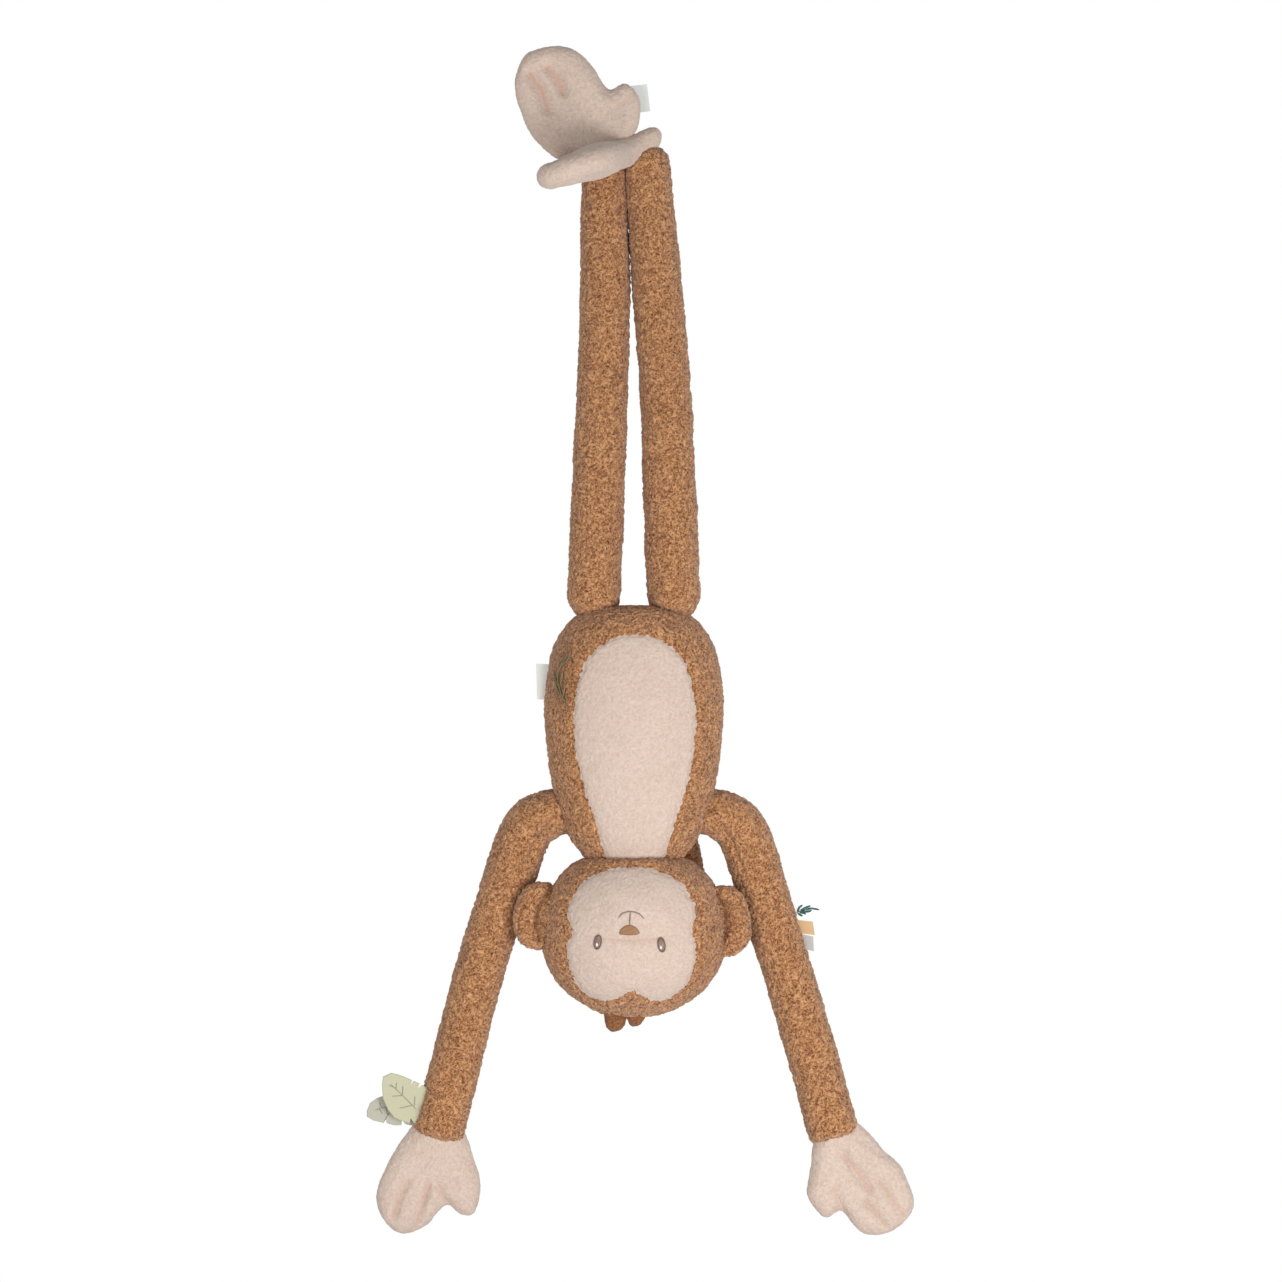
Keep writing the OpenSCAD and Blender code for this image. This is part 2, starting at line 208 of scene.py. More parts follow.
def smooth_noise(points, seed):
    """Smooth noise about 0 at each point, where a bump is about one unit across."""
    cell = np.floor(points).astype(np.int64)
    part = points - cell
    ease = part**3 * (part * (part * 6 - 15) + 10)
    total = np.zeros(len(points))
    for corner in itertools.product((0, 1), repeat=3):
        key = ((cell + corner) @ HASH + seed * 7919) & 0xFFFFFFFF
        key = ((key ^ (key >> 15)) * 2246822519) & 0xFFFFFFFF
        key = ((key ^ (key >> 13)) * 668265263) & 0xFFFFFFFF
        slope = SLOPES[(key >> 11) & 255]
        weight = np.prod(np.where(corner, ease, 1 - ease), axis=1)
        total += weight * np.einsum("ij,ij->i", slope, part - corner)
    return total


def locks(points, normals, width, long, seed):
    """How high locks of fibre stand, 0 in the gaps to 1. They lie along a direction that wanders."""
    lie = np.stack([smooth_noise(points / (3.2 * width), seed + k) for k in range(3)], 1)
    lie -= np.einsum("ij,ij->i", lie, normals)[:, None] * normals
    lie /= np.linalg.norm(lie, axis=1)[:, None] + 1e-6
    steps = np.linspace(-0.5, 0.5, 5)
    total = sum(smooth_noise((points + lie * long * step) / width, seed + 9) for step in steps)
    return np.clip(0.5 + total / len(steps) / 0.42, 0, 1)


def curve_through(keys, gap=COARSE):
    """Points about a gap apart on a smooth curve through the keys, which may have any size."""
    keys = np.array(keys, float)
    padded_keys = np.concatenate([keys[:1], keys, keys[-1:]])
    share = np.linspace(0, 1, 24, endpoint=False)[:, None]
    dense = []
    for a, b, c, d in zip(padded_keys, padded_keys[1:], padded_keys[2:], padded_keys[3:]):
        dense.append(
            0.5 * (2 * b + (c - a) * share + (2 * a - 5 * b + 4 * c - d) * share**2
                   + (3 * b - a - 3 * c + d) * share**3)
        )
    dense = np.concatenate(dense + [keys[-1:]])
    length = np.concatenate([[0], np.cumsum(np.linalg.norm(np.diff(dense[:, :3], axis=0), axis=1))])
    count = max(int(round(length[-1] / gap)), 4) + 1
    places = np.linspace(0, length[-1], count)
    return np.stack([np.interp(places, length, column) for column in dense.T], 1)


def lathe(rings):
    """Points, faces and their UV corners for a closed skin through rings of points."""
    count, around = rings.shape[:2]
    points = np.concatenate([rings.reshape(-1, 3), rings[0].mean(0)[None], rings[-1].mean(0)[None]])
    faces = []
    corners = []
    for i in range(count - 1):
        for j in range(around):
            k = (j + 1) % around
            faces.append((i * around + j, i * around + k, (i + 1) * around + k, (i + 1) * around + j))
            corners += [(j, i + 1), (j + 1, i + 1), (j + 1, i + 2), (j, i + 2)]
    last = (count - 1) * around
    for j in range(around):
        k = (j + 1) % around
        faces.append((k, j, count * around))
        corners += [(j + 1, 1), (j, 1), (j + 0.5, 0)]
        faces.append((last + j, last + k, count * around + 1))
        corners += [(j, count), (j + 1, count), (j + 0.5, count + 1)]
    corners = np.array(corners, float) / (around, count + 1)
    low = points[[face[0] for face in faces]]
    mid = points[[face[1] for face in faces]]
    high = points[[face[2] for face in faces]]
    if np.einsum("ij,ij->i", low, np.cross(mid, high)).sum() < 0:
        faces = [face[::-1] for face in faces]
        sizes = [len(face) for face in faces]
        ends = np.cumsum(sizes)
        order = np.concatenate([np.arange(end - 1, end - size - 1, -1) for end,
                                size in zip(ends, sizes)])
        corners = corners[order]
    return points, faces, corners


def plain_object(name, points, faces, corners=None):
    """A new object with this mesh."""
    mesh = bpy.data.meshes.new(name)
    mesh.from_pydata(np.asarray(points).tolist(), [], [list(face) for face in faces])
    if corners is not None:
        layer = mesh.uv_layers.new(name="OFBake")
        layer.data.foreach_set("uv", np.ascontiguousarray(corners, np.float32).ravel())
    mesh.shade_smooth()
    made = bpy.data.objects.new(name, mesh)
    scene.collection.objects.link(made)
    return made


def remove(thing):
    mesh = thing.data
    bpy.data.objects.remove(thing)
    bpy.data.meshes.remove(mesh)


SETTLED_AT = 20


def swollen(points, faces, held, most):
    """Where the cloth goes when the stuffing presses on it, at most that far. It is sewn down where held."""
    bag = plain_object("bag", points, faces)
    cloth = bag.modifiers.new("cloth", "CLOTH")
    cloth.settings.quality = 4
    cloth.settings.mass = 0.3
    cloth.settings.use_pressure = True
    cloth.settings.uniform_pressure_force = 4
    cloth.settings.effector_weights.gravity = 0
    if held.any():
        sewn = bag.vertex_groups.new(name="sewn")
        sewn.add(np.nonzero(held)[0].tolist(), 1, "REPLACE")
        cloth.settings.vertex_group_mass = "sewn"
    cloth.point_cache.frame_start = 1
    cloth.point_cache.frame_end = SETTLED_AT
    for number in range(1, SETTLED_AT + 1):
        scene.frame_set(number)
    settled = bag.evaluated_get(bpy.context.evaluated_depsgraph_get()).data
    after = np.zeros(len(points) * 3, np.float32)
    settled.vertices.foreach_get("co", after)
    scene.frame_set(1)
    remove(bag)
    shift = after.reshape(-1, 3) - points
    far = np.linalg.norm(shift, axis=1)[:, None]
    return points + shift * np.minimum(1, most / np.maximum(far, 1e-9))


def finer(points, faces, corners, levels=2):
    """The skin with its faces cut up and smoothed: points, normals, four-cornered faces, UV corners."""
    rough = plain_object("rough", points, faces, corners)
    cut = rough.modifiers.new("cut", "SUBSURF")
    cut.levels = levels
    cut.uv_smooth = "NONE"
    fine = rough.evaluated_get(bpy.context.evaluated_depsgraph_get()).to_mesh()
    points = np.zeros(len(fine.vertices) * 3, np.float32)
    fine.vertices.foreach_get("co", points)
    normals = np.zeros(len(fine.vertices) * 3, np.float32)
    fine.vertex_normals.foreach_get("vector", normals)
    faces = np.zeros(len(fine.loops), np.int32)
    fine.loops.foreach_get("vertex_index", faces)
    corners = np.zeros(len(fine.loops) * 2, np.float32)
    fine.uv_layers["OFBake"].data.foreach_get("uv", corners)
    remove(rough)
    return (points.reshape(-1, 3).astype(float), normals.reshape(-1, 3).astype(float),
            faces.reshape(-1, 4), corners.reshape(-1, 4, 2))


def piece(name, points, faces, corners, material, chosen=None, **values):
    """An object of the chosen faces of a fine skin, with these values at its points."""
    if chosen is not None:
        faces = faces[chosen]
        corners = corners[chosen]
    used, places = np.unique(faces, return_inverse=True)
    made = plain_object(name, points[used], places.reshape(faces.shape).tolist(), corners)
    for key, value in values.items():
        column = made.data.attributes.new(key, "FLOAT", "POINT").data
        column.foreach_set("value", value[used].astype(np.float32))
    made.data.materials.append(material)
    return made


def plush(name, root, body, tip, seam_tint, contrast, strand, sheen):
    """Plush: painted shade between the locks and painted highlight at their ends, with curled strands
    painted on over them as highlights.
    """
    start, shader, material = finish_of(name)
    place = start.node("ShaderNodeTexCoord", {}, {}, out="Object")
    pile = start.node("ShaderNodeAttribute", {"attribute_name": "pile"}, {}, out="Fac")
    sewn = start.node("ShaderNodeAttribute", {"attribute_name": "sewn"}, {}, out="Fac")
    # The strands are painted highlights over the locks; the same pattern also gives them relief in the bump.
    lit_strands = 0.0
    for size, away in ((strand, 0.0), (strand * 1.15, 5.3), (strand * 1.35, 9.1)):
        moved = start.node("ShaderNodeVectorMath", {"operation": "ADD"}, {0: place, 1: (away, 0, away)})
        wander = start.noise(moved, 0.4 / size, 1.0)
        line = 1 - start.math("ABSOLUTE", wander - 0.5, 0.0) * 17.0
        lit_strands = start.math("MAXIMUM", line, lit_strands)
    grain = start.noise(place, 0.7 / strand, 2.0)
    patches = start.noise(place, 34.0, 2.0)
    # The colour ramp runs from painted shade at the roots of the locks to painted highlight at their ends.
    level = (pile * 0.4 + lit_strands * 0.6 + grain * 0.4 - 0.62) * contrast + 0.5
    stops = [(0.05, root), (0.5, body), (0.95, tip)]
    ramp = start.node("ShaderNodeValToRGB", {"stops": stops}, {"Fac": level}, out="Color")
    # Broad random patches make the colour darker here and there.
    blotched = start.node("ShaderNodeMix", {"data_type": "RGBA", "blend_type": "MULTIPLY"},
                      {0: patches * 0.4, 6: ramp, 7: (0.8, 0.74, 0.7, 1)}, out=2)
    sewn.mix(blotched, seam_tint).into(shader.inputs["Base Color"])
    relief = lit_strands * 0.7 + grain
    bump = start.node("ShaderNodeBump", {}, {"Strength": 0.3 + 0.4 * contrast, "Distance": strand * 0.6,
                                             "Height": relief}, out="Normal")
    bump.into(shader.inputs["Normal"])
    shader.inputs["Roughness"].default_value = 0.93
    shader.inputs["Specular IOR Level"].default_value = 0.12
    shader.inputs["Sheen Weight"].default_value = sheen
    shader.inputs["Sheen Roughness"].default_value = 0.5
    return material


# In each plush the first colour is the painted shade deep between the locks and the third the painted
# highlight on their ends.
teddy_cloth = plush("brown_teddy", paint(96, 56, 31), paint(160, 107, 67), paint(210, 160, 114),
                    paint(84, 52, 32),
                    1.05, 1.1 * MM, 0.3)
cream_cloth = plush("cream_plush", paint(188, 162, 146), paint(206, 186, 172), paint(218, 201, 189),
                    paint(192, 146, 126), 0.62, 0.8 * MM, 0.3)

TEDDY_LOCK = 1.8 * MM
TEDDY_LONG = 3.4 * MM
TEDDY_HIGH = 1.7 * MM
CREAM_LOCK = 1.8 * MM
CREAM_LONG = 2.6 * MM
CREAM_HIGH = 0.55 * MM


def teddy_pile(points, normals, press=0.0):
    """Curly pile over a fine skin. Press, from 0 to 1, is how flat it lies. Gives points and pile."""
    high = locks(points, normals, TEDDY_LOCK, TEDDY_LONG, 3)
    tufts = smooth_noise(points / (9 * MM), 21) * 0.8 * MM
    lift = (high - 0.35) * TEDDY_HIGH + tufts
    return points + normals * (lift * (1 - press))[:, None], high * (1 - 0.75 * press)


def cream_pile(points, normals, press=0.0):
    """Short plush over a fine skin. Gives points and pile."""
    high = locks(points, normals, CREAM_LOCK, CREAM_LONG, 40)
    lift = (high - 0.5) * CREAM_HIGH + smooth_noise(points / (11 * MM), 51) * 0.4 * MM
    return points + normals * (lift * (1 - press))[:, None], high * (1 - press)


def inside(outline, across, up):
    """How far inside a closed outline each place is, below 0 outside it."""
    ends = np.roll(outline, -1, axis=0)
    spot = np.stack([across, up], 1)
    nearest = np.full(len(spot), 1e9)
    crossed = np.zeros(len(spot), bool)
    for (ax, az), (bx, bz) in zip(outline, ends):
        run = np.array([bx - ax, bz - az])
        share = np.clip(((spot - (ax, az)) @ run) / max(run @ run, 1e-12), 0, 1)
        nearest = np.minimum(nearest, np.linalg.norm(spot - (ax, az) - share[:, None] * run, axis=1))
        if az != bz:
            spans = (az > spot[:, 1]) != (bz > spot[:, 1])
            crossed ^= spans & (spot[:, 0] < ax + (spot[:, 1] - az) / (bz - az) * (bx - ax))
    return np.where(crossed, nearest, -nearest)


def furry_edge(points):
    """How far locks push a seam between two cloths to and fro."""
    return smooth_noise(points / (3.2 * MM), 70) * 2.6 * MM + smooth_noise(points / (9 * MM),
                                                                           71) * 1.4 * MM


low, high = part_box("torso_back")
torso_half = high.x
torso_deep = high.y
torso_top = high.z
torso_low = low.z
neck_half = torso_half * 0.585
torso_profile = curve_through([
    (torso_half * 0.2, torso_top), (torso_half * 0.5, torso_top - 3 * MM),
    (torso_half * 0.73, torso_top - 14 * MM), (torso_half * 0.91, torso_top - 36 * MM),
    (torso_half, torso_top - 74 * MM), (torso_half * 0.98, torso_top - 112 * MM),
    (torso_half * 0.91, torso_top - 152 * MM), (torso_half * 0.78, torso_top - 186 * MM),
    (neck_half, torso_low + 3 * MM), (neck_half * 0.9, torso_low - 1 * MM),
    (neck_half * 0.5, torso_low - 2 * MM), (neck_half * 0.15, torso_low - 2 * MM)
])
turns = np.linspace(0, 2 * math.pi, 116, endpoint=False) + math.pi / 2
torso_inset = 1.5 * MM
torso_rings = np.stack([
    np.stack([(r - torso_inset) * np.cos(turns), (r - torso_inset) * torso_deep / torso_half * np.sin(turns),
              np.full(len(turns), z)], 1)
    for r, z in torso_profile
])
points, faces, corners = lathe(torso_rings)
points = swollen(points, faces, np.abs(points[:, 2] - torso_low) < 4 * MM, 2 * MM)

belly_half = [(12, -407), (32, -417), (44, -433), (51.5, -465), (51, -500), (46, -528), (35, -562),
              (23, -602)]
belly_loop = [(-x, z) for x, z in belly_half[::-1]] + belly_half
belly_outline = curve_through(belly_loop, 4.0)[:-1] * MM
points, normals, faces, corners = finer(points, faces, corners)
depth_in = inside(belly_outline, points[:, 0] - 1 * MM, points[:, 2]) + furry_edge(points)
depth_in = np.where(points[:, 1] < 0, depth_in, -1)
seam = np.exp(-(depth_in / (2.6 * MM)) ** 2)
points = points - normals * (seam * 1.6 * MM)[:, None]
is_cream = (depth_in[faces] > 0).mean(1) > 0.5
feather_place = (-59 * MM, -443 * MM)
away = np.hypot((points[:, 0] - feather_place[0]) * 2.4, points[:, 2] - feather_place[1]) / (28 * MM)
flat_here = np.clip(1.5 - away, 0, 0.8) * (points[:, 1] < 0)
brown_points, brown_pile = teddy_pile(points, normals, np.maximum(flat_here, np.clip(seam - 0.6, 0, 1)))
cream_points, cream_level = cream_pile(points, normals)
on_seam = np.intersect1d(faces[is_cream], faces[~is_cream])
cream_points[on_seam] = brown_points[on_seam]
torso_tree = BVHTree.FromPolygons(points.tolist(), faces.tolist())
torso = piece("torso_skin", brown_points, faces, corners, teddy_cloth, ~is_cream, pile=brown_pile)
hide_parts("torso_back", "torso_front", "torso_stuffing")
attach(torso, "torso")
belly = piece("belly_plush", cream_points, faces, corners, cream_cloth, is_cream, pile=cream_level)
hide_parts("belly_panel")
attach(belly, "torso")

# ---- head skin, muzzle panel and brow panel -----------------------------------------------------
# A ball of the same teddy cloth, flat where it is sewn to the neck. The face is two pieces of
# cream plush, joined along the crease under the eyes, and the muzzle half is stuffed fuller.
low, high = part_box("head_back")
head_half = high.x
head_deep = high.y
head_top = high.z
head_tall = high.z - low.z
head_profile = curve_through([
    (head_half * 0.15, head_top - 1 * MM), (head_half * 0.5, head_top),
    (head_half * 0.68, head_top - 5 * MM), (head_half * 0.9, head_top - 24 * MM),
    (head_half, head_top - 52 * MM), (head_half * 0.985, head_top - 82 * MM),
    (head_half * 0.8, head_top - 0.81 * head_tall), (head_half * 0.45, head_top - 0.955 * head_tall),
    (head_half * 0.12, head_top - head_tall)
])
head_inset = 1.5 * MM
head_turns = np.linspace(0, 2 * math.pi, 124, endpoint=False) + math.pi / 2
head_rings = np.stack([
    np.stack([(r - head_inset) * np.cos(head_turns),
              (r - head_inset) * head_deep / head_half * np.sin(head_turns),
              np.full(len(head_turns), z)], 1)
    for r, z in head_profile
])
face_half = [(12, -601), (38, -610), (50, -626), (55, -639), (51, -654), (55, -667), (54, -684),
             (46, -701),
             (33, -712), (20, -714), (8, -710)]
face_loop = [(-x, z) for x, z in face_half[::-1]] + face_half + [(0, -705), (-8, -710)]
face_outline = curve_through(face_loop, 3.5)[:-1] * MM


def crease_height(across):
    """The height of the crease under the eyes, lowest in the middle."""
    return (-662 + 6.5 * ((across / MM + 4) / 48) ** 2) * MM


points, faces, corners = lathe(head_rings)
in_crease = (np.abs(points[:, 2] - crease_height(points[:, 0])) < 3 * MM) & (points[:, 1] < 0)
in_crease &= np.abs(points[:, 0]) < 52 * MM
points = swollen(points, faces, in_crease | (np.abs(points[:, 2] - head_top) < 3 * MM), 2 * MM)
points, normals, faces, corners = finer(points, faces, corners)
across, up = points[:, 0], points[:, 2]
facing = np.clip(-points[:, 1] / (30 * MM), 0, 1)
muzzle_bulge = np.exp(-((across + 3 * MM) / (34 * MM)) ** 2 - ((up + 634 * MM) / (22 * MM)) ** 2) * 4 * MM
crease_gap = np.abs(up - crease_height(across))
crease_fade = np.clip(1.2 - np.abs(across) / (50 * MM), 0, 1)
crease_dip = np.exp(-(crease_gap / (3 * MM)) ** 2) * crease_fade * 1.8 * MM
points = points - np.outer(facing * (muzzle_bulge - crease_dip), (0, 1, 0))
depth_in = inside(face_outline, across + 2 * MM, up) + furry_edge(points)
depth_in = np.where(points[:, 1] < 0, depth_in, -1)
seam = np.exp(-(depth_in / (2.4 * MM)) ** 2)
points = points - normals * (seam * 1.4 * MM)[:, None]
head_tree = BVHTree.FromPolygons(points.tolist(), faces.tolist())
eye_places = ((-30 * MM, -663.4 * MM), (23 * MM, -665.6 * MM))
nose_place = (-3.4 * MM, -655 * MM)
pressed = np.zeros(len(points))
for (x, z), size in [(eye_places[0], 5), (eye_places[1], 5), (nose_place, 7)]:
    away = np.hypot((across - x) * 1.2, up - z) / (size * MM)
    pressed = np.maximum(pressed, np.clip(1.6 - away, 0, 1) * (points[:, 1] < 0))
is_cream = (depth_in[faces] > 0).mean(1) > 0.5
is_muzzle = is_cream & ((up - crease_height(across))[faces].mean(1) > 0)
brown_points, brown_pile = teddy_pile(points, normals, np.clip(seam - 0.6, 0, 1))
cream_points, cream_level = cream_pile(points, normals, pressed)
on_seam = np.intersect1d(faces[is_cream], faces[~is_cream])
cream_points[on_seam] = brown_points[on_seam]
head = piece("head_skin", brown_points, faces, corners, teddy_cloth, ~is_cream, pile=brown_pile)
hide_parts("head_back", "head_front", "head_stuffing")
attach(head, "head")
line_fade = np.clip(1.0 - np.abs(across + 3 * MM) / (44 * MM), 0, 0.5)
in_line = np.exp(-(crease_gap / (0.9 * MM)) ** 2) * line_fade
for name, chosen in (("muzzle", is_muzzle), ("brow", is_cream & ~is_muzzle)):
    panel = piece(name + "_plush", cream_points, faces, corners, cream_cloth, chosen, pile=cream_level,
                  sewn=in_line)
    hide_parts(name + "_panel")
    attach(panel, "head")

# ---- legs, arms and tail ------------------------------------------------------------------------
# Long soft tubes of teddy cloth, loosely filled. Each runs on inside the piece it is sewn to, and
# bends smoothly where its two lengths of filling meet.


def limb_form(keys, caps=(1.0, 1.0)):
    """Rings round a smooth line through the keys, each (x, y, z, radius), with round or flatter ends."""
    line = curve_through(keys)
    middle, radius = line[:, :3], line[:, 3]
    ahead = np.gradient(middle, axis=0)
    ahead /= np.linalg.norm(ahead, axis=1)[:, None]
    around = int(2 * math.pi * radius.max() / COARSE)
    angles = np.linspace(0, 2 * math.pi, around, endpoint=False)
    end_steps = np.radians([14, 32, 50, 66, 80])
    stations = [(middle[0] - ahead[0] * radius[0] * caps[0] * math.sin(t), ahead[0],
                 radius[0] * math.cos(t))
                for t in end_steps[::-1]]
    stations += list(zip(middle, ahead, radius))
    stations += [(middle[-1] + ahead[-1] * radius[-1] * caps[1] * math.sin(t), ahead[-1],
                  radius[-1] * math.cos(t)) for t in end_steps]
    rings = []
    for centre, way, size in stations:
        side = np.cross(way, (0, 1, 0))
        side /= np.linalg.norm(side)
        front = np.cross(side, way)
        rings.append(centre + size * (np.outer(np.cos(angles), side) + np.outer(np.sin(angles), front)))
    return lathe(np.stack(rings))


def creased(points, folds):
    """How deep each point lies in the folds, each (place on the fold, way across it, width, depth)."""
    dip = np.zeros(len(points))
    for place, way, width, depth in folds:
        gap = (points - np.array(place)) @ (np.array(way) / np.linalg.norm(way))
        near = np.exp(-(np.linalg.norm(points - np.array(place), axis=1) / (26 * MM)) ** 4)
        dip += depth * near * np.exp(-(gap / width) ** 2)
    return dip


def limb_skin(keys, caps=(1.0, 1.0), folds=()):
    """A fine furry limb: points, faces, UV corners and pile."""
    points, faces, corners = limb_form(keys, caps)
    points = swollen(points, faces, creased(points, folds) > 1 * MM, 1.5 * MM)
    points, normals, faces, corners = finer(points, faces, corners)
    points = points - normals * creased(points, folds)[:, None]
    points = points + normals * (smooth_noise(points / (26 * MM), 90) * 1.2 * MM)[:, None]
    points, level = teddy_pile(points, normals)
    return points, faces, corners, level


def bend_over(thing, first, second, joint, before, after):
    """Bakes the piece's place into its mesh; it does not bend it. First, second and joint are not used, and
    before and after give only a way that is not used.
    """
    way = np.array(after) - np.array(before)
    way = way / np.linalg.norm(way)
    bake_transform(thing)


low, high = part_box("thigh_left")
leg_radius = (high.y - low.y) / 2 - 2.5 * MM
for side, name in ((-1, "left"), (1, "right")):
    hip = joint_at[name + "_hip_spread"]
    knee = joint_at[name + "_knee_bend"]
    ankle = joint_at[name + "_ankle_tilt"]
    inward = -side * np.array((1, 0, 0)) * MM
    keys = [(*hip, leg_radius + 1.5 * MM), (*((hip + knee) / 2), leg_radius + 1.3 * MM),
            (*knee, leg_radius + 0.5 * MM),
            (*((knee + ankle) / 2 + inward * (1.5 - side)), leg_radius),
            (*(ankle + inward * 2 + (0, 0, 9 * MM)), leg_radius - 2 * MM)]
    points, faces, corners, level = limb_skin(keys, (1.0, 0.8))
    leg = piece("leg_" + name, points, faces, corners, teddy_cloth, pile=level)
    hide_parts("thigh_" + name, "thigh_stuffing_" + name, "shin_" + name, "shin_stuffing_" + name)
    bend_over(leg, name + "_thigh", name + "_shin", name + "_knee_bend", hip, ankle)

arm_radius = leg_radius
for side, name in ((-1, "left"), (1, "right")):
    root = joint_at[name + "_shoulder_swing"]
    fold = joint_at[name + "_shoulder_spread"]
    elbow = joint_at[name + "_elbow_bend"]
    wrist = joint_at[name + "_wrist_flop"]
    out = np.array((side, 0, 0))
    keys = [(*(root - out * 4 * MM), arm_radius - 2 * MM),
            (*(root + out * 8 * MM - (0, 0, 2 * MM)), arm_radius),
            (*(fold + out * 1 * MM), arm_radius + 1 * MM),
            (*((fold + elbow) / 2 + out * 1.5 * MM), arm_radius + 0.5 * MM),
            (*elbow, arm_radius), (*((elbow + wrist) / 2), arm_radius),
            (*(wrist + (side * 2 * MM, 0, -9 * MM)), arm_radius + 0.5 * MM)]
    folds = [(fold + (-side * 10 * MM, -16 * MM, -6 * MM), (side, 0, 0.5), 2.2 * MM, 2.4 * MM),
             (fold + (-side * 17 * MM, -16 * MM, 2 * MM), (side, 0, 0.9), 2 * MM, 1.6 * MM)]
    points, faces, corners, level = limb_skin(keys, (1.0, 0.42), folds)
    middle = (fold + elbow) / 2
    below = ((points - middle) @ (elbow - fold) > 0)[faces].mean(1) > 0.5
    top = piece("arm_top_" + name, points, faces, corners, teddy_cloth, ~below, pile=level)
    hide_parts("shoulder_" + name, "upper_arm_" + name, "upper_arm_stuffing_" + name)
    bend_over(top, name + "_shoulder", name + "_upper_arm", name + "_shoulder_spread", root, elbow)
    lower = piece("arm_low_" + name, points, faces, corners, teddy_cloth, below, pile=level)
    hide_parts("forearm_" + name, "forearm_stuffing_" + name)
    bend_over(lower, name + "_upper_arm", name + "_forearm", name + "_elbow_bend", fold, wrist)

low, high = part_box("tail_lower")
tail_root = joint_at["tail_lift"]
tail_middle = joint_at["tail_curl"]
tail_radius = tail_root[0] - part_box("tail_upper")[0].x - 1 * MM
tail_tip = np.array((high.x - tail_radius - 1 * MM, (low.y + high.y) / 2 - 3 * MM,
                     low.z + tail_radius + 1 * MM))
keys = [(*tail_root, tail_radius), (*((tail_root + tail_middle) / 2), tail_radius),
        (*tail_middle, tail_radius),
        (*((tail_middle + tail_tip) / 2), tail_radius), (*tail_tip, tail_radius)]
points, faces, corners, level = limb_skin(keys)
tail = piece("tail_skin", points, faces, corners, teddy_cloth, pile=level)
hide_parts("tail_upper", "tail_lower", "tail_stuffing_upper", "tail_stuffing_lower")
bend_over(tail, "tail_base", "tail_end", "tail_curl", tail_root, tail_tip)

# ---- hands, feet, ears and forelock -------------------------------------------------------------
# Flat padded shapes: two like pieces of plush sewn round the edge, turned out and filled. Rows of
# stitches through both sides part the fingers and the toes.


def crease_level(spots, creases, narrow):
    """How deep in the stitched creases each spot lies, 0 to 1. Narrow makes them thinner."""
    sewn = np.zeros(len(spots))
    for line, width, share in creases:
        line = np.array(line, float)
        near = np.full(len(spots), 1e9)
        for a, b in zip(line, line[1:]):
            run = b - a
            along = np.clip(((spots - a) @ run) / (run @ run), 0, 1)
            near = np.minimum(near, np.linalg.norm(spots - a - along[:, None] * run, axis=1))
        sewn = np.maximum(sewn, share * np.exp(-((near / (width * narrow)) ** 2)))
    return sewn


FULL_REACH = 18


def padded_form(outline, middle, thick, edge, creases, full=(0, 0, 0)):
    """Rings over a pad with this outline, thick in all and round over its edge. Each crease is
    (its points, width, depth as a share), and full is an extra thickness about a place. All in mm,
    with the pad standing in X and Z. Gives points, faces, UV corners, where it is sewn through and
    the creases."""
    outline = np.array(outline, float)
    closed = curve_through(np.concatenate([outline, outline[:3]]), COARSE / MM)
    first = np.argmin(np.linalg.norm(closed[: len(closed) // 4] - outline[1], axis=1))
    last = len(closed) // 2 + np.argmin(np.linalg.norm(closed[len(closed) // 2:] - outline[1], axis=1))
    rim = closed[first:last]
    middle = np.array(middle, float)
    steps = np.radians(np.linspace(6, 174, 2 * int(np.linalg.norm(rim - middle,
                                                                  axis=1).mean() / 3.4) + 5))
    flat = middle + np.sin(steps)[:, None, None] * (rim - middle)
    spots = flat.reshape(-1, 2)
    deep = np.clip(inside(rim, spots[:, 0], spots[:, 1]), 0, None)
    deep[np.abs(np.repeat(steps, len(rim)) - math.pi / 2) < 0.01] = 0
    swell = np.sqrt(1 - (1 - np.minimum(deep / edge, 1)) ** 2)
    from_full = (spots[:, 0] - full[0]) ** 2 + (spots[:, 1] - full[1]) ** 2
    height = thick / 2 + full[2] * np.exp(-from_full / FULL_REACH**2)
    sewn = crease_level(spots, creases, 1.0)
    side = np.where(np.repeat(steps, len(rim)) < math.pi / 2, -1, 1)
    rings = np.stack([spots[:, 0], side * height * swell * (1 - sewn), spots[:, 1]], 1) * MM
    points, faces, corners = lathe(rings.reshape(*flat.shape[:2], 3))
    return points, faces, corners, np.append(sewn > 0.5, [False, False]), creases


def soft_pad(name, form, place, pile, cloth, nodes, body):
    """A stuffed pad, moved to its place by a function, that rides on a body."""
    points, faces, corners, held, creases = form
    points = swollen(points, faces, held, 1.5 * MM)
    spots = finer(points, faces, corners)[0][:, [0, 2]] / MM
    points, normals, faces, corners = finer(place(points), faces, corners)
    points = points + normals * (smooth_noise(points / (17 * MM), 33) * 0.9 * MM)[:, None]
    sewn = crease_level(spots, creases, 0.4)
    points, level = pile(points, normals, 0.6 * sewn)
    pad = piece(name, points, faces, corners, cloth, pile=level, sewn=sewn)
    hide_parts(*nodes)
    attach(pad, body)


